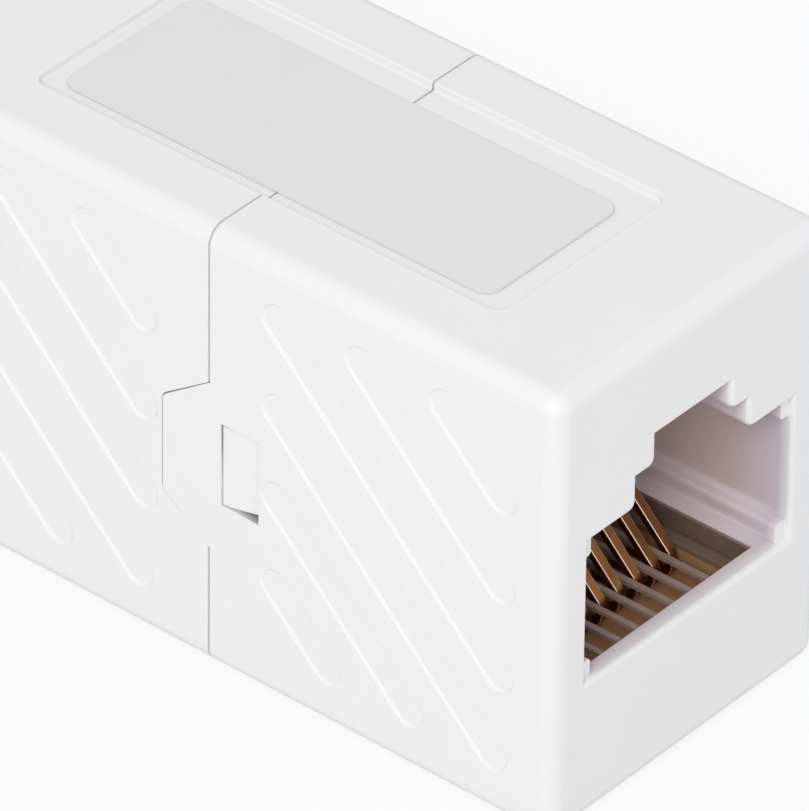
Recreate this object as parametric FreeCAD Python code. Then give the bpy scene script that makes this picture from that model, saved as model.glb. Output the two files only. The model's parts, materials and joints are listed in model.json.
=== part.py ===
import FreeCAD
import Part
import math
import os

# Inline coupler for two network plugs: two equal half shells snap together end to end, each with a socket.
# Frame: X runs along the coupler with the seam at 0, Z is up and the base lies at 0. Lengths are in mm.

# Socket for the plug
socket_width = 11.8
socket_height = 6.5
socket_depth = 12.6
lug_gap = 6.4             # width between the lower pair of lugs beside the latch
lug_rise = 1.4
latch_gap = 4.3           # width between the upper pair of lugs
latch_rise = 1.35
lug_depth = 3.6           # how far the upper lugs run in from the face
lug_round = 0.4
mouth_round = 0.25        # the mouth's edges at the face
rib_setback = 0.3         # the corner ribs start this far behind the face
low_rib_width = 0.55
low_rib_height = 0.8
high_rib_width = 0.45
high_rib_height = 0.95

# Spring contacts
contact_count = 8
contact_pitch = 1.02
contact_width = 0.42
contact_thickness = 0.33
contact_bend = 0.67       # centre line radius of the front bend
contact_setback = 2.74    # face to the corner of the front bend
spring_angle = 45.0       # rise of the spring from the bend
knee_rise = 3.2           # knee of the spring above the socket floor
knee_bend = 1.2
tip_angle = 20.0
tip_overlap = 0.5         # how far the tip reaches into the comb wall

# Contact block
slot_floor = 2.44         # plastic under the contacts
slot_depth = 1.46
slot_play = 0.165         # each side of a contact
slab_edge = 0.56          # plastic outside the last slot
bar_thickness = 0.22      # the bars between the slots are free beneath, near the front
bar_reach = 4.2           # length of those free bars
front_rail = 0.4          # strip across the front that joins the bars
comb_wall = 1.6
comb_slot_reach = 1.05
comb_slot_rim = 0.5       # plastic over the tip slots
comb_slot_drop = 0.8      # how far the tip slots start below the socket floor
leg_height = 5.4
tail_room = 1.8           # comb wall to circuit board
sill_rise = 0.9           # block top to socket floor

# Circuit board
board_thickness = 1.2

# Half shell
side_wall = 1.9
base_wall = 1.5
top_wall = 1.5
pocket_wall = 1.5         # outer wall beside the hollows of the moulding
face_wall = 1.6           # end wall in front of the hollows
inner_wall = 1.15
rail_wall = 0.75
rail_roof = 1.0
roof_hollow = 1.7
sill = 0.9
edge_round = 0.8
seam_gap = 0.1
seam_depth = 0.16
fit_play = 0.1
slab_play = 0.05

# Lap over the seam and snap window
lap_thickness = 0.9
lap_reach = 2.27
lap_root_low = 5.5
lap_root_high = 13.0
lap_tip_low = 7.1
lap_tip_high = 11.4
lap_round = 0.35
lap_high_play = 0.04      # clearance over, before and under the tongue
lap_end_play = 0.05
lap_low_play = 0.01
window_start = 0.6        # seam to the catching edge
window_length = 1.83
window_low = 7.7
window_high = 11.4
hook_play = 0.06
hook_low_play = 0.04
hook_taper = 0.2          # the hook's lower edge rises by this towards its tip
hook_flat = 0.4
hook_ramp = 0.2           # the hook's face falls back by this towards its tip
hook_sink = 0.04          # hook below the outer face
hook_root = 0.5           # overlap of an added form with its own wall

# Label
recess_length = 22.6
recess_width = 9.6
recess_depth = 0.35
recess_round = 0.6
label_end_margin = 0.89
label_side_margin = 0.99
label_thickness = 0.1
label_round = 0.75
label_shift_x = -0.26
label_shift_y = -0.24

# Grip grooves
grip_seam_margin = 2.5
grip_face_margin = 1.85
grip_base_margin = 2.0
grip_top_margin = 1.85
groove_width = 1.5
groove_depth = 0.1
groove_flank = 0.12
groove_spacing = 4.01     # measured along Z
groove_first = 2.5        # shortest run of a corner groove along X

# Heights
slot_bottom = base_wall + slot_floor
slab_top = slot_bottom + slot_depth
socket_floor = slab_top + sill_rise
socket_top = socket_floor + socket_height
lug_top = socket_top + lug_rise
latch_top = lug_top + latch_rise
roof_hollow_low = latch_top + inner_wall
roof_hollow_high = roof_hollow_low + roof_hollow
body_height = roof_hollow_high + top_wall
recess_floor = body_height - recess_depth

# Distances from the seam
board_face = board_thickness / 2
comb_back = board_face + tail_room
comb_front = comb_back + comb_wall
half_length = comb_front + socket_depth
hollow_end = half_length - face_wall
sill_back = half_length - sill
slab_front = sill_back - fit_play
slot_end = slab_front - front_rail
window_end = window_start + window_length

# Half widths
socket_side = socket_width / 2
body_side = socket_side + side_wall
lug_side = lug_gap / 2
latch_side = latch_gap / 2
slot_width = contact_width + 2 * slot_play
slab_side = (contact_count - 1) / 2 * contact_pitch + slot_width / 2 + slab_edge
channel_side = slab_side + slab_play
hollow_side = body_side - pocket_wall
lap_side = body_side - lap_thickness

beyond = 1.0              # cutters run this far past a face


def vector(x, y, z):
    return FreeCAD.Vector(x, y, z)


def box(x_low, x_high, y_low, y_high, z_low, z_high):
    return Part.makeBox(x_high - x_low, y_high - y_low, z_high - z_low, vector(x_low, y_low, z_low))


def centred_box(x_low, x_high, half_width, z_low, z_high):
    return box(x_low, x_high, -half_width, half_width, z_low, z_high)


def both_sides(x_low, x_high, y_inner, y_outer, z_low, z_high):
    right = box(x_low, x_high, y_inner, y_outer, z_low, z_high)
    left = box(x_low, x_high, -y_outer, -y_inner, z_low, z_high)
    return [right, left]


def prism(corners, direction):
    outline = Part.makePolygon(corners + corners[:1])
    return Part.Face(outline).extrude(direction)


def turned(shape):
    # The other half is this one turned half a turn about Z.
    copy = shape.copy()
    copy.rotate(vector(0, 0, 0), vector(0, 0, 1), 180)
    return copy


def edges_where(shape, test):
    return [edge for edge in shape.Edges if all(test(corner.Point) for corner in edge.Vertexes)]


def near(a, b):
    return abs(a - b) < 1e-6


def single_solid(shape):
    cleaned = shape.removeSplitter()
    if len(cleaned.Solids) != 1:
        raise ValueError("expected one solid, found %d" % len(cleaned.Solids))
    return cleaned.Solids[0]


# Outer form of a half: a block with all edges rounded except those at the seam
def rounded_half():
    block = centred_box(0, half_length, body_side, 0, body_height)
    seam_edges = [edge.hashCode() for edge in edges_where(block, lambda point: near(point.x, 0))]
    outer_edges = [edge for edge in block.Edges if edge.hashCode() not in seam_edges]
    return block.makeFillet(edge_round, outer_edges)


# A shallow groove round the outside of the seam and across the label's recess, half of it in each half
def seam_relief():
    outer = centred_box(-beyond, seam_gap / 2, body_side + beyond, -beyond, body_height + beyond)
    land = centred_box(-beyond, seam_gap / 2, body_side - seam_depth, seam_depth, body_height - seam_depth)
    long_edges = [edge for edge in land.Edges if not near(edge.Vertexes[0].X, edge.Vertexes[1].X)]
    land = land.makeFillet(edge_round - seam_depth, long_edges)
    across_recess = centred_box(-beyond, seam_gap / 2, recess_width / 2 + seam_depth,
                                recess_floor - seam_depth, body_height + beyond)
    return outer.cut(land).fuse(across_recess)


# Mouth of the socket: the plug's rectangle with two steps of lugs over it
def mouth_cutter():
    profile = [
        (socket_side, socket_floor),
        (socket_side, socket_top),
        (lug_side, socket_top),
        (lug_side, lug_top),
        (latch_side, lug_top),
        (latch_side, latch_top),
    ]
    outline = profile + [(-y, z) for y, z in reversed(profile)]
    corners = [vector(half_length - rib_setback, y, z) for y, z in outline]
    cutter = prism(corners, vector(rib_setback + beyond, 0, 0))
    return rounded_lugs(cutter)


def rounded_lugs(cutter):
    def at_lug(point):
        lower = near(abs(point.y), lug_side) and near(point.z, socket_top)
        upper = near(abs(point.y), latch_side) and near(point.z, lug_top)
        return lower or upper
    return cutter.makeFillet(lug_round, edges_where(cutter, at_lug))


# Room for the plug behind the mouth, with a rib along each corner
def socket_cutter():
    low_side = socket_side - low_rib_width
    low_top = socket_floor + low_rib_height
    high_side = socket_side - high_rib_width
    high_bottom = socket_top - high_rib_height
    profile = [
        (low_side, socket_floor),
        (low_side, low_top),
        (socket_side, low_top),
        (socket_side, high_bottom),
        (high_side, high_bottom),
        (high_side, socket_top),
        (lug_side, socket_top),
        (lug_side, lug_top),
        (latch_side, lug_top),
        (latch_side, latch_top),
    ]
    outline = profile + [(-y, z) for y, z in reversed(profile)]
    corners = [vector(comb_front, y, z) for y, z in outline]
    cutter = prism(corners, vector(half_length - rib_setback - comb_front, 0, 0))
    return rounded_lugs(cutter)


# The wider room that the latch springs into behind the upper lugs
def latch_room():
    return centred_box(comb_front, half_length - lug_depth, lug_side, socket_top - beyond, latch_top)


# Hollows that keep the moulding's walls even
def moulding_hollows():
    rail_inside = channel_side + rail_wall
    rail_top = socket_floor - rail_roof
    lobe_inside = lug_side + inner_wall
    lobe_low = socket_top + inner_wall
    hollows = both_sides(-beyond, hollow_end, rail_inside, hollow_side, base_wall, rail_top)
    hollows += both_sides(-beyond, hollow_end, lobe_inside, hollow_side, lobe_low, roof_hollow_high)
    hollows.append(centred_box(-beyond, hollow_end, hollow_side, roof_hollow_low, roof_hollow_high))
    hollows.append(centred_box(-beyond, comb_front - inner_wall, lug_side, socket_top - beyond, latch_top))
    return hollows


# Room for the circuit board and the contact block
def block_room():
    board_room = centred_box(-beyond, comb_front, socket_side, base_wall, socket_top)
    channel = centred_box(-beyond, sill_back, channel_side, base_wall, socket_floor + low_rib_height / 2)
    return [board_room, channel]


# A plate of the tongue's outline on the -Y side, with a clearance over, before and under it
def lap_plate(inner, outer, high_play, end_play, low_play):
    reach = lap_reach + end_play
    outline = [
        (hook_root, lap_root_high + high_play),
        (0, lap_root_high + high_play),
        (-reach, lap_tip_high + high_play),
        (-reach, lap_tip_low - low_play),
        (0, lap_root_low - low_play),
        (hook_root, lap_root_low - low_play),
    ]
    plate = prism([vector(x, inner, z) for x, z in outline], vector(0, outer - inner, 0))
    tip_edges = edges_where(plate, lambda point: near(point.x, -reach))
    corner_edges = [edge for edge in tip_edges if near(edge.Vertexes[0].Z, edge.Vertexes[1].Z)]
    return plate.makeFillet(lap_round + end_play, corner_edges)


# The tongue laps over the other half, which has a pocket for it
def lap_tongue():
    return lap_plate(-lap_side, -body_side, 0, 0, 0)


def lap_pocket():
    return lap_plate(-lap_side + fit_play, -body_side - beyond, lap_high_play, lap_end_play, lap_low_play)


# Snap window on the -Y side: a hole in the outer layer and a channel for the hook arm in the inner layer
def window_cutters():
    hole = box(window_start, window_end, -body_side - beyond, -lap_side, window_low, window_high)
    channel = box(-beyond, window_end, -lap_side, -socket_side, window_low, window_high)
    return [hole, channel]


# The other half's arm as it lies in the -Y window, with a hook that catches the window's edge
def hook_arm():
    tip = window_end - hook_play
    outer_face = -lap_side + fit_play
    inner_face = -socket_side - fit_play
    side_view = [
        (-hook_root, window_low + hook_low_play),
        (window_start, window_low + hook_low_play),
        (tip, window_low + hook_low_play + hook_taper),
        (tip, window_high - hook_play),
        (-hook_root, window_high - hook_play),
    ]
    full_depth = prism([vector(x, -body_side, z) for x, z in side_view], vector(0, side_wall, 0))
    catch = window_start + hook_play
    plan_view = [
        (-hook_root, inner_face),
        (-hook_root, outer_face),
        (catch, outer_face),
        (catch, -body_side + hook_sink),
        (catch + hook_flat, -body_side + hook_sink),
        (tip, -body_side + hook_sink + hook_ramp),
        (tip, inner_face),
    ]
    plan = prism([vector(x, y, window_low) for x, y in plan_view], vector(0, 0, window_high - window_low))
    return full_depth.common(plan)


def label_recess():
    reach = recess_length / 2
    pocket = centred_box(-beyond, reach, recess_width / 2, recess_floor, body_height + beyond)
    corners = [edge for edge in edges_where(pocket, lambda point: near(point.x, reach))
               if near(edge.Vertexes[0].Y, edge.Vertexes[1].Y)]
    return pocket.makeFillet(recess_round, corners)


# Outline of a groove: two straight sides joined by half circles round its end points
def groove_outline(start, end, y, radius):
    along = (end - start).normalize()
    across = vector(along.z, 0, -along.x)
    lift = vector(0, y, 0)
    side = across * radius
    cap = along * radius
    first = Part.LineSegment(start + side + lift, end + side + lift)
    far_cap = Part.Arc(end + side + lift, end + cap + lift, end - side + lift)
    second = Part.LineSegment(end - side + lift, start - side + lift)
    near_cap = Part.Arc(start - side + lift, start - cap + lift, start + side + lift)
    return Part.Wire([piece.toShape() for piece in (first, far_cap, second, near_cap)])


# One groove as a cutter that narrows from outside the wall down to the groove's floor
def groove_cutter(start, end, side):
    outside = groove_outline(start, end, side * (body_side + groove_depth), groove_width / 2 + groove_flank)
    floor = groove_outline(start, end, side * (body_side - groove_depth), groove_width / 2 - groove_flank)
    return Part.makeLoft([outside, floor], True, True)


# Diagonal grooves that fill a rectangle and, seen from outside, fall to the right on both sides
def grip_grooves(side):
    inset = groove_width / 2
    low_x = grip_seam_margin + inset
    high_x = half_length - grip_face_margin - inset
    low_z = grip_base_margin + inset
    high_z = body_height - grip_top_margin - inset
    width = high_x - low_x
    height = high_z - low_z
    count = int((width + height - 2 * groove_first) / groove_spacing) + 1
    cutters = []
    for index in range(count):
        reach = groove_first + index * groove_spacing
        start_z = min(reach, height)
        end_x = min(reach, width)
        start = (reach - start_z, start_z)
        end = (end_x, reach - end_x)
        if side < 0:
            points = [vector(low_x + u, 0, low_z + v) for u, v in (start, end)]
        else:
            points = [vector(high_x - u, 0, low_z + v) for u, v in (start, end)]
        cutters.append(groove_cutter(points[0], points[1], side))
    return cutters


# The outer form with the mouth cut into its end and the mouth's edges rounded
def mouthed_half():
    half = rounded_half().cut(mouth_cutter())

    def at_mouth(point):
        across = abs(point.y) < socket_side + fit_play
        upright = socket_floor - fit_play < point.z < latch_top + fit_play
        return near(point.x, half_length) and across and upright
    return half.makeFillet(mouth_round, edges_where(half, at_mouth))


def half_shell():
    shell = mouthed_half()
    shell = shell.cut(seam_relief())
    shell = shell.fuse(lap_tongue())
    cutters = [socket_cutter(), latch_room(), label_recess()]
    cutters += moulding_hollows() + block_room() + window_cutters()
    cutters.append(turned(lap_pocket()))
    cutters += grip_grooves(-1) + grip_grooves(1)
    shell = shell.cut(cutters)
    shell = shell.fuse(turned(hook_arm()))
    return single_solid(shell)


def slot_centres():
    first = -(contact_count - 1) / 2 * contact_pitch
    return [first + index * contact_pitch for index in range(contact_count)]


# Comb-like insert: a slab with a slot for each contact and a wall that ends the socket
def contact_block():
    top = socket_top - fit_play
    side = socket_side - fit_play
    slab = centred_box(board_face, slab_front, slab_side, base_wall, slab_top)
    wall = centred_box(comb_back, comb_front, side, base_wall, top)
    legs = both_sides(board_face, comb_back, slab_side, side, base_wall, base_wall + leg_height)
    block = slab.fuse([wall] + legs)
    slots_side = slab_side - slab_edge
    cutters = [centred_box(slot_end - bar_reach, slot_end, slots_side, slot_bottom, slab_top - bar_thickness)]
    for centre in slot_centres():
        low_y = centre - slot_width / 2
        high_y = centre + slot_width / 2
        tip_low = socket_floor - comb_slot_drop
        cutters.append(box(board_face - beyond, slot_end, low_y, high_y, slot_bottom, slab_top))
        cutters.append(box(comb_front - comb_slot_reach, comb_front + beyond, low_y, high_y,
                           tip_low, top - comb_slot_rim))
    return single_solid(block.cut(cutters))


# Edges of one side of a strip that follows the points (x, z) with a rounded bend at each inner point
def strip_side(points, bends, offset):
    edges = []
    previous = None
    for index in range(1, len(points) - 1):
        before = (points[index] - points[index - 1]).normalize()
        after = (points[index + 1] - points[index]).normalize()
        turn = before.getAngle(after)
        sense = 1 if before.cross(after).y < 0 else -1
        cut = bends[index - 1] * math.tan(turn / 2)
        normal_before = vector(-before.z, 0, before.x)
        normal_after = vector(-after.z, 0, after.x)
        bend_start = points[index] - before * cut
        bend_end = points[index] + after * cut
        centre = bend_start + normal_before * (sense * bends[index - 1])
        first = bend_start + normal_before * offset
        last = bend_end + normal_after * offset
        outward = (normal_before + normal_after).normalize() * -sense
        middle = centre + outward * (first - centre).Length
        if previous is None:
            previous = points[0] + normal_before * offset
        edges.append(Part.LineSegment(previous, first).toShape())
        edges.append(Part.Arc(first, middle, last).toShape())
        previous = last
        end_normal = normal_after
    final = points[-1] + end_normal * offset
    edges.append(Part.LineSegment(previous, final).toShape())
    return edges


# Spring contact: tail on the board, run under the socket, bend at the front, spring up to the comb wall
def contact_shape(centre):
    tail_z = slot_bottom + contact_thickness / 2
    bend_x = half_length - contact_setback
    knee_z = socket_floor + knee_rise
    knee_x = bend_x - (knee_z - tail_z) / math.tan(math.radians(spring_angle))
    tip_x = comb_front - tip_overlap
    tip_z = knee_z + (knee_x - tip_x) * math.tan(math.radians(tip_angle))
    points = [
        vector(board_face, 0, tail_z),
        vector(bend_x, 0, tail_z),
        vector(knee_x, 0, knee_z),
        vector(tip_x, 0, tip_z),
    ]
    bends = [contact_bend, knee_bend]
    lower = strip_side(points, bends, -contact_thickness / 2)
    upper = strip_side(points, bends, contact_thickness / 2)
    tail_cap = Part.LineSegment(lower[0].Vertexes[0].Point, upper[0].Vertexes[0].Point).toShape()
    tip_cap = Part.LineSegment(lower[-1].Vertexes[-1].Point, upper[-1].Vertexes[-1].Point).toShape()
    outline = Part.Wire(Part.sortEdges(lower + upper + [tail_cap, tip_cap])[0])
    strip = Part.Face(outline).extrude(vector(0, contact_width, 0))
    strip.translate(vector(0, centre - contact_width / 2, 0))
    return single_solid(strip)


def circuit_board():
    side = socket_side - fit_play
    return centred_box(-board_face, board_face, side, base_wall, socket_top - fit_play)


def label_plate():
    half_run = recess_length / 2 - label_end_margin
    half_width = recess_width / 2 - label_side_margin
    plate = centred_box(-half_run, half_run, half_width, recess_floor, recess_floor + label_thickness)
    corners = [edge for edge in plate.Edges if near(edge.Length, label_thickness)]
    plate = plate.makeFillet(label_round, corners)
    plate.translate(vector(label_shift_x, label_shift_y, 0))
    return plate


def coupler_pieces():
    shell = half_shell()
    block = contact_block()
    pieces = {
        "front_shell": shell,
        "rear_shell": turned(shell),
        "label": label_plate(),
        "front_contact_block": block,
        "rear_contact_block": turned(block),
        "circuit_board": circuit_board(),
    }
    for number, centre in enumerate(slot_centres(), start=1):
        contact = contact_shape(centre)
        pieces["front_contact_%d" % number] = contact
        pieces["rear_contact_%d" % number] = turned(contact)
    return pieces


os.makedirs("parts", exist_ok=True)
for name, shape in coupler_pieces().items():
    shape.exportStep("parts/" + name + ".step")
    print("%-22s %9.3f mm3" % (name, shape.Volume))
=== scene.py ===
import bmesh
import bpy
import json
import math
from mathutils import Matrix, Vector


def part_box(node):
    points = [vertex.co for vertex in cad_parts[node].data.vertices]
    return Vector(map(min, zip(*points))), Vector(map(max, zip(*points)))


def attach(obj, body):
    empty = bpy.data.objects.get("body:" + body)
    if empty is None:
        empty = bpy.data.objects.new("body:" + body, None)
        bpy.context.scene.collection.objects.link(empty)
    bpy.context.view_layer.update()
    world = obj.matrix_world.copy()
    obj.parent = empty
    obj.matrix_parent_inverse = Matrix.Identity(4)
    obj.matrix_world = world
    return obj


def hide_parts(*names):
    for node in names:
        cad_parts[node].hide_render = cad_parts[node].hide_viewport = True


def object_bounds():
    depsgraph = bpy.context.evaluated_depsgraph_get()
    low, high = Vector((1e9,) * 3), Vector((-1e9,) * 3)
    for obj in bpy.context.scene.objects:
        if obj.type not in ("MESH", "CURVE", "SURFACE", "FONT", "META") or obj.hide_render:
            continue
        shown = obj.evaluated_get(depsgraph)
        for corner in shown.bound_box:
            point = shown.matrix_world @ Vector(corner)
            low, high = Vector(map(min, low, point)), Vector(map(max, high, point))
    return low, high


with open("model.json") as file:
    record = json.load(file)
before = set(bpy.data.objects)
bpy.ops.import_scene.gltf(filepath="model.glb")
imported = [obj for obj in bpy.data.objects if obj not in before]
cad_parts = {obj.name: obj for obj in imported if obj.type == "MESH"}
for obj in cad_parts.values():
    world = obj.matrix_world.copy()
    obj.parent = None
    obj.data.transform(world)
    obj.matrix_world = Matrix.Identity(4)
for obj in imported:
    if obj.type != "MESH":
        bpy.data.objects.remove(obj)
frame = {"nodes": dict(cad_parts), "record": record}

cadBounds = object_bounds()
mm = 0.001


# Materials

def startMaterial(name):
    material = bpy.data.materials.new(name)
    material.use_nodes = True
    tree = material.node_tree
    shader = tree.nodes["Principled BSDF"]
    coordinates = tree.nodes.new("ShaderNodeTexCoord")
    return material, tree, shader, coordinates


noiseRoughness = 0.55
grainDetail = 3.0
grainRange = (0.3, 0.7)                   # the part of the grain's noise that is used


def addNoise(tree, coordinates, scale, detail):
    noise = tree.nodes.new("ShaderNodeTexNoise")
    noise.inputs["Scale"].default_value = scale
    noise.inputs["Detail"].default_value = detail
    noise.inputs["Roughness"].default_value = noiseRoughness
    tree.links.new(coordinates.outputs["Object"], noise.inputs["Vector"])
    return noise.outputs["Fac"]


def addRange(tree, value, fromLow, fromHigh, toLow, toHigh):
    mapRange = tree.nodes.new("ShaderNodeMapRange")
    mapRange.inputs["From Min"].default_value = fromLow
    mapRange.inputs["From Max"].default_value = fromHigh
    mapRange.inputs["To Min"].default_value = toLow
    mapRange.inputs["To Max"].default_value = toHigh
    tree.links.new(value, mapRange.inputs["Value"])
    return mapRange.outputs["Result"]


def addMath(tree, operation, first, second=None):
    node = tree.nodes.new("ShaderNodeMath")
    node.operation = operation
    for socket, value in zip(node.inputs, (first, second)):
        if isinstance(value, (int, float)):
            socket.default_value = value
        elif value is not None:
            tree.links.new(value, socket)
    return node.outputs["Value"]


def addRamp(tree, value, stops):
    ramp = tree.nodes.new("ShaderNodeValToRGB")
    elements = ramp.color_ramp.elements
    for extra in range(len(stops) - len(elements)):
        elements.new(0.5)
    for element, (place, color) in zip(elements, stops):
        element.position = place
        element.color = (*color, 1.0)
    tree.links.new(value, ramp.inputs["Fac"])
    return ramp.outputs["Color"]


def addMix(tree, factor, first, second):
    mix = tree.nodes.new("ShaderNodeMix")
    mix.data_type = "RGBA"
    for socketName, value in (("Factor", factor), ("A", first), ("B", second)):
        socket = mix.inputs[socketName]
        if isinstance(value, (int, float)):
            socket.default_value = value
        elif isinstance(value, tuple):
            socket.default_value = (*value, 1.0)
        else:
            tree.links.new(value, socket)
    return mix.outputs["Result"]


def addPosition(tree, coordinates):
    position = tree.nodes.new("ShaderNodeSeparateXYZ")
    tree.links.new(coordinates.outputs["Object"], position.inputs["Vector"])
    return position


# Two close shades of one colour in soft patches
def addPatches(tree, coordinates, values):
    scale, detail, low, high = values["patches"]
    patches = addNoise(tree, coordinates, scale, detail)
    return addMix(tree, addRange(tree, patches, low, high, 0.0, 1.0), values["color"], values["shade"])


# Fine grain that shows in the roughness and as a slight bump
def addGrain(tree, shader, coordinates, values):
    scale, strength, distance = values["grain"]
    grain = addNoise(tree, coordinates, scale, grainDetail)
    roughness = addRange(tree, grain, *grainRange, *values["roughness"])
    tree.links.new(roughness, shader.inputs["Roughness"])
    bump = tree.nodes.new("ShaderNodeBump")
    bump.inputs["Strength"].default_value = strength
    bump.inputs["Distance"].default_value = distance
    tree.links.new(grain, bump.inputs["Height"])
    tree.links.new(bump.outputs["Normal"], shader.inputs["Normal"])


whitePlastic = {
    "color": (0.803, 0.803, 0.806),
    "shade": (0.796, 0.796, 0.799),       # faint mottling of the moulding
    "rimPaintedLight": (0.82, 0.815, 0.82),           # painted light: paler on the mouth's rounded edge, just behind the end face
    "lilacPaintedShade": (0.655, 0.585, 0.65),        # painted shade just inside the sockets
    # painted shade deeper in the sockets
    "mauvePaintedShade": (0.66, 0.545, 0.535),
    "deepPaintedLight": (0.99, 0.82, 0.78),          # painted light: a pale tint deepest in, where little lamp light comes
    "patches": (260.0, 5.0, 0.35, 0.65),  # scale, detail and the range that is blended
    "roughness": (0.42, 0.50),
    "grain": (2600.0, 0.05, 0.01 * mm),   # scale, bump strength and height
    "rimDepth": 0.28 * mm,                # behind the end face
    "lilacPaintedShadeDepth": 0.7 * mm,
    "sillDepth": 0.75 * mm,
    "ledgeDepth": 1.5 * mm,
    "mauvePaintedShadeDepth": 3.0 * mm,
    "deepPaintedLightDepth": 10.0 * mm,
    "slot": (0.36, 0.265, 0.20),          # painted shade in the channel under the socket's floor
    "ledgePaintedLight": (0.84, 0.77, 0.82),          # painted light: paler tops of the floor ledges and the low ribs, where light falls from above
    "floor": 6.27 * mm,
    "ledgeTop": 6.42 * mm,
    "ribLow": 6.98 * mm,
    "ribTop": 7.22 * mm,
    "bandFade": 0.2 * mm,
    "bandStrength": 0.7,
    "socketSide": 6.05 * mm,
    "socketLow": 1.4 * mm,
    "socketHigh": 15.7 * mm,
}


# 1 inside a socket's outline and 0 outside it
def addSocketMask(tree, position, values):
    side = addMath(tree, "ABSOLUTE", position.outputs["Y"])
    insideSide = addMath(tree, "LESS_THAN", side, values["socketSide"])
    aboveFloor = addMath(tree, "GREATER_THAN", position.outputs["Z"], values["socketLow"])
    belowRoof = addMath(tree, "LESS_THAN", position.outputs["Z"], values["socketHigh"])
    return addMath(tree, "MULTIPLY", insideSide, addMath(tree, "MULTIPLY", aboveFloor, belowRoof))


# A soft band between two heights, fading out at each side
def addBand(tree, height, low, high, values):
    fade = values["bandFade"]
    rise = addRange(tree, height, low - fade, low, 0.0, values["bandStrength"])
    fall = addRange(tree, height, high, high + fade, 1.0, 0.0)
    return addMath(tree, "MULTIPLY", rise, fall)


def whitePlasticMaterial(values):
    material, tree, shader, coordinates = startMaterial("whitePlastic")
    color = addPatches(tree, coordinates, values)
    position = addPosition(tree, coordinates)
    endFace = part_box("front_shell")[1][0]
    depth = addMath(tree, "SUBTRACT", endFace, addMath(tree, "ABSOLUTE", position.outputs["X"]))
    deepest = values["deepPaintedLightDepth"]
    # painted light and shade: the colour changes with depth into the sockets, from the rim's painted light
    # through lilac and mauve painted shade to a pale painted light deepest in
    paintedSocketShading = addRamp(tree, addRange(tree, depth, 0.0, deepest, 0.0, 1.0), [
        (0.0, values["color"]),
        (values["rimDepth"] / deepest, values["rimPaintedLight"]),
        (values["lilacPaintedShadeDepth"] / deepest, values["lilacPaintedShade"]),
        (values["mauvePaintedShadeDepth"] / deepest, values["mauvePaintedShade"]),
        (1.0, values["deepPaintedLight"]),
    ])
    height = position.outputs["Z"]
    inwards = addRange(tree, depth, values["rimDepth"], values["ledgeDepth"], 0.0, 1.0)
    # painted light: paler bands along the tops of the floor ledges and the low ribs
    for low, high in (("floor", "ledgeTop"), ("ribLow", "ribTop")):
        litBand = addMath(tree, "MULTIPLY", inwards, addBand(tree, height, values[low], values[high], values))
        paintedSocketShading = addMix(tree, litBand, paintedSocketShading, values["ledgePaintedLight"])
    # painted shade in the channel under the socket's floor, behind the sill
    behindSill = addMath(tree, "GREATER_THAN", depth, values["sillDepth"])
    belowFloor = addMath(tree, "LESS_THAN", height, values["floor"])
    paintedSocketShading = addMix(tree, addMath(tree, "MULTIPLY", behindSill, belowFloor), paintedSocketShading, values["slot"])
    color = addMix(tree, addSocketMask(tree, position, values), color, paintedSocketShading)
    tree.links.new(color, shader.inputs["Base Color"])
    addGrain(tree, shader, coordinates, values)
    return material


labelFilm = {
    "color": (0.735, 0.735, 0.738),
    "shade": (0.727, 0.727, 0.73),
    "patches": (300.0, 4.0, 0.35, 0.65),
    "roughness": (0.5, 0.58),
    "grain": (3000.0, 0.06, 0.01 * mm),
}
labelRim = {                              # the film's cut edge
    "color": (0.685, 0.68, 0.695),
    "shade": (0.66, 0.655, 0.67),
    "patches": (300.0, 4.0, 0.35, 0.65),
    "roughness": (0.5, 0.58),
    "grain": (3000.0, 0.06, 0.01 * mm),
}
blockPlastic = {
    "color": (0.38, 0.30, 0.26),          # tops of the bars
    "shade": (0.34, 0.25, 0.20),
    "strip": (0.21, 0.15, 0.105),         # painted shade on the slab outside the last slots
    "slot": (0.48, 0.27, 0.135),          # painted shade in and under the slots, with a painted reflection of the copper beside them
    "barLow": 5.17 * mm,
    "barTop": 5.45 * mm,
    "barSide": 3.93 * mm,
    "patches": (500.0, 4.0, 0.35, 0.65),
    "roughness": (0.45, 0.6),
    "grain": (3000.0, 0.06, 0.01 * mm),
}
boardFinish = {
    "color": (0.02, 0.12, 0.05),
    "shade": (0.015, 0.09, 0.04),
    "patches": (500.0, 4.0, 0.35, 0.65),
    "roughness": (0.3, 0.45),
    "grain": (3000.0, 0.06, 0.01 * mm),
}


def plainMaterial(name, values):
    material, tree, shader, coordinates = startMaterial(name)
    tree.links.new(addPatches(tree, coordinates, values), shader.inputs["Base Color"])
    addGrain(tree, shader, coordinates, values)
    return material


def blockMaterial(values):
    material, tree, shader, coordinates = startMaterial("blockPlastic")
    color = addPatches(tree, coordinates, values)
    position = addPosition(tree, coordinates)
    height = position.outputs["Z"]
    aboveLow = addMath(tree, "GREATER_THAN", height, values["barLow"])
    onBars = addMath(tree, "MULTIPLY", aboveLow, addMath(tree, "LESS_THAN", height, values["barTop"]))
    side = addMath(tree, "ABSOLUTE", position.outputs["Y"])
    outside = addMath(tree, "GREATER_THAN", side, values["barSide"])
    # painted shade on the slab outside the last slots
    color = addMix(tree, outside, color, values["strip"])
    # painted shade and painted copper reflection everywhere but the bars' tops
    color = addMix(tree, onBars, values["slot"], color)
    tree.links.new(color, shader.inputs["Base Color"])
    addGrain(tree, shader, coordinates, values)
    return material


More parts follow.
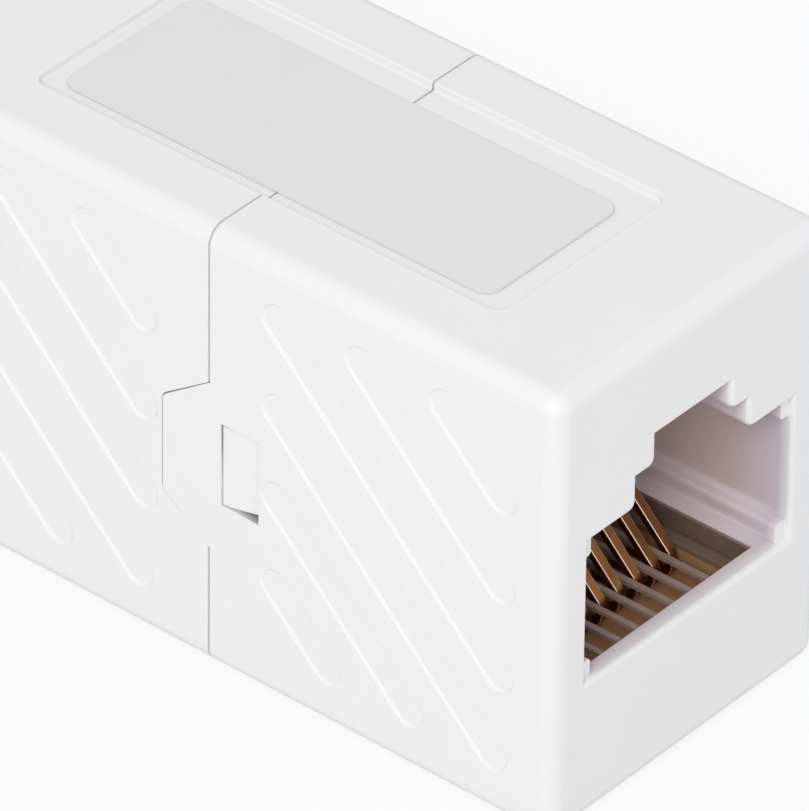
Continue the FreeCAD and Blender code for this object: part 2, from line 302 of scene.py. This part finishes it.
# painted shade: the copper is darkened to stand in for the dark reflections inside the socket
contactCopperPaintedShade = {
    "color": (0.275, 0.125, 0.044),
    "shade": (0.20, 0.087, 0.03),
    "patches": (900.0, 4.0, 0.4, 0.65),
    "roughness": (0.28, 0.4),
    "grain": (5200.0, 0.05, 0.005 * mm),
}
contactEdgePaintedHighlight = {                           # painted highlight: the wires' softened edges get a bright copper so they glint
    "color": (0.95, 0.72, 0.58),
    "shade": (0.90, 0.62, 0.46),
    "patches": (900.0, 4.0, 0.4, 0.65),
    "roughness": (0.15, 0.25),
    "grain": (5200.0, 0.05, 0.005 * mm),
}


def contactMaterial(name, values):
    material = plainMaterial(name, values)
    material.node_tree.nodes["Principled BSDF"].inputs["Metallic"].default_value = 1.0
    return material


finishes = {
    "white_plastic": whitePlasticMaterial(whitePlastic),
    "label_film": plainMaterial("labelFilm", labelFilm),
    "block_plastic": blockMaterial(blockPlastic),
    "board": plainMaterial("boardFinish", boardFinish),
    "contact_gold": contactMaterial("contactCopperPaintedShade", contactCopperPaintedShade),
}
edgeFinishes = {                          # slots whose softened edges have a finish of their own, the contacts' one a painted highlight
    "contact_gold": contactMaterial("contactEdgePaintedHighlight", contactEdgePaintedHighlight),
    "label_film": plainMaterial("labelRim", labelRim),
}
print("materials made:", len(finishes))


# Pieces: each is the built solid with its edges softened

shellEdges = {                            # how wide each kind of edge of a half shell is softened
    "grooves": 0.02 * mm,
    "recess": 0.09 * mm,
    "socket": 0.15 * mm,
}
edgeWidths = {
    "label_film": 0.04 * mm,
    "block_plastic": 0.035 * mm,
    "board": 0.05 * mm,
    "contact_gold": 0.035 * mm,
}
shellZones = {                            # where each kind of edge lies, in from the box or from the middle
    "seamHalf": 0.2 * mm,
    "grooveDepth": 0.25 * mm,
    "recessDepth": 0.45 * mm,
    "mouthDepth": 0.4 * mm,
    "socketStart": 4.0 * mm,
    "socketLow": 6.0 * mm,
}
mergeDistance = 0.001 * mm
flatAngle = math.radians(0.5)
sharpAngle = math.radians(25)
widestEdge = max(shellEdges.values())


def shellEdgeWidth(middle, high):
    x, y, z = abs(middle.x), abs(middle.y), middle.z
    zones = shellZones
    if x < zones["seamHalf"]:             # the narrow groove round the seam stays sharp
        return 0.0
    if y > high[1] - zones["grooveDepth"]:
        return shellEdges["grooves"]
    if z > high[2] - zones["recessDepth"]:
        return shellEdges["recess"]
    if x > high[0] - zones["mouthDepth"]: # the built rounding of the mouth is enough
        return 0.0
    if x > zones["socketStart"] and y < whitePlastic["socketSide"] and z > zones["socketLow"]:
        return shellEdges["socket"]
    return 0.0


def cleanedMesh(nodeName, slotName):
    shape = bmesh.new()
    shape.from_mesh(frame["nodes"][nodeName].data)
    bmesh.ops.remove_doubles(shape, verts=shape.verts, dist=mergeDistance)
    bmesh.ops.dissolve_limit(shape, angle_limit=flatAngle, verts=shape.verts, edges=shape.edges)
    weights = shape.edges.layers.float.new("bevel_weight_edge")
    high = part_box("front_shell")[1]
    for edge in shape.edges:
        if len(edge.link_faces) != 2 or edge.calc_face_angle() < sharpAngle:
            continue
        if slotName == "white_plastic":
            width = shellEdgeWidth((edge.verts[0].co + edge.verts[1].co) / 2, high)
        else:
            width = edgeWidths[slotName]
        edge[weights] = width / widestEdge
        edge.smooth = width > 0.0
    mesh = bpy.data.meshes.new(nodeName + "_finish")
    shape.to_mesh(mesh)
    shape.free()
    return mesh


def softenedCopy(nodeName, slotName):
    mesh = cleanedMesh(nodeName, slotName)
    piece = bpy.data.objects.new(nodeName + "_finish", mesh)
    bpy.context.collection.objects.link(piece)
    mesh.materials.clear()
    mesh.materials.append(finishes[slotName])
    for polygon in mesh.polygons:
        polygon.use_smooth = True
        polygon.material_index = 0
    bevel = piece.modifiers.new("edges", "BEVEL")
    bevel.width = widestEdge
    bevel.segments = 3
    bevel.limit_method = "WEIGHT"
    bevel.use_clamp_overlap = False
    flats = piece.modifiers.new("flats", "WEIGHTED_NORMAL")
    flats.mode = "FACE_AREA"
    flats.keep_sharp = True
    # the bevel's faces take the edge finish, on the contacts a painted highlight
    if slotName in edgeFinishes:
        mesh.materials.append(edgeFinishes[slotName])
        bevel.material = 1
    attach(piece, "root")
    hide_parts(nodeName)
    return piece


for entry in frame["record"]["subparts"]:
    softenedCopy(entry["node"], entry["material_slot"])


# Floor, lamp, world and camera

studio = {
    "floorSize": 3.0,
    "floorRoughness": 0.9,
    "floorSpecular": 0.1,
    "floorColor": (0.86, 0.86, 0.86),
    "floorShow": 0.8,                     # share of the floor's look that is plain white
    "worldLight": 0.765,
}


def makeFloor(values):
    shape = bmesh.new()
    bmesh.ops.create_grid(shape, x_segments=1, y_segments=1, size=values["floorSize"] / 2)
    mesh = bpy.data.meshes.new("floor")
    shape.to_mesh(mesh)
    shape.free()
    floor = bpy.data.objects.new("floor", mesh)
    bpy.context.collection.objects.link(floor)
    material = bpy.data.materials.new("floorPaper")
    material.use_nodes = True
    tree = material.node_tree
    diffuse = tree.nodes["Principled BSDF"]
    diffuse.inputs["Base Color"].default_value = (*values["floorColor"], 1.0)
    diffuse.inputs["Roughness"].default_value = values["floorRoughness"]
    diffuse.inputs["Specular IOR Level"].default_value = values["floorSpecular"]
    white = tree.nodes.new("ShaderNodeEmission")
    white.inputs["Strength"].default_value = 1.0
    path = tree.nodes.new("ShaderNodeLightPath")
    share = addMath(tree, "MULTIPLY", path.outputs["Is Camera Ray"], values["floorShow"])
    mix = tree.nodes.new("ShaderNodeMixShader")
    tree.links.new(share, mix.inputs["Fac"])
    tree.links.new(diffuse.outputs["BSDF"], mix.inputs[1])
    tree.links.new(white.outputs["Emission"], mix.inputs[2])
    tree.links.new(mix.outputs["Shader"], tree.nodes["Material Output"].inputs["Surface"])
    mesh.materials.append(material)


def makeWorld(values):
    world = bpy.data.worlds.new("studio")
    bpy.context.scene.world = world
    world.use_nodes = True
    tree = world.node_tree
    background = tree.nodes["Background"]
    background.inputs["Color"].default_value = (1.0, 1.0, 1.0, 1.0)
    path = tree.nodes.new("ShaderNodeLightPath")
    seen = addMath(tree, "MAXIMUM", path.outputs["Is Camera Ray"], path.outputs["Is Glossy Ray"])
    seen = addMath(tree, "MAXIMUM", seen, path.outputs["Is Transmission Ray"])
    strength = addRange(tree, seen, 0.0, 1.0, values["worldLight"], 1.0)
    tree.links.new(strength, background.inputs["Strength"])


keyLamp = {"direction": (0.38, -0.64, 0.60), "power": 0.95, "distance": 0.5, "size": 0.2}


def makeLamp(name, values, target):
    data = bpy.data.lights.new(name, "AREA")
    data.shape = "DISK"
    data.size = values["size"]
    data.energy = values["power"]
    lamp = bpy.data.objects.new(name, data)
    bpy.context.collection.objects.link(lamp)
    direction = Vector(values["direction"]).normalized()
    lamp.location = target + direction * values["distance"]
    lamp.rotation_euler = direction.to_track_quat("Z", "Y").to_euler()


view = {
    "azimuth": math.radians(40.015),
    "elevation": math.radians(35.983),
    "roll": math.radians(0.735),
    "aside": -2.256 * mm,                 # where the origin lies from the line of sight
    "below": 6.249 * mm,
    "distance": 453.1 * mm,
    "lens": 532.7,
}


def makeCamera(values):
    around, above = values["azimuth"], values["elevation"]
    flat = math.cos(above)
    ahead = Vector((-math.sin(around) * flat, math.cos(around) * flat, -math.sin(above)))
    level = ahead.cross(Vector((0, 0, 1))).normalized()
    upright = level.cross(ahead)
    turn = values["roll"]
    right = math.cos(turn) * level + math.sin(turn) * upright
    up = math.cos(turn) * upright - math.sin(turn) * level
    place = -(right * values["aside"] - up * values["below"] + ahead * values["distance"])
    data = bpy.data.cameras.new("camera")
    data.lens = values["lens"]
    data.clip_start = 0.01
    camera = bpy.data.objects.new("camera", data)
    bpy.context.collection.objects.link(camera)
    matrix = Matrix((right, up, -ahead)).transposed().to_4x4()
    matrix.translation = place
    camera.matrix_world = matrix
    bpy.context.scene.camera = camera


makeFloor(studio)
makeWorld(studio)
middle = Vector((0, 0, (cadBounds[0][2] + cadBounds[1][2]) / 2))
makeLamp("keyLamp", keyLamp, middle)
makeCamera(view)
bpy.context.scene.view_settings.view_transform = "Standard"
print("studio ready")
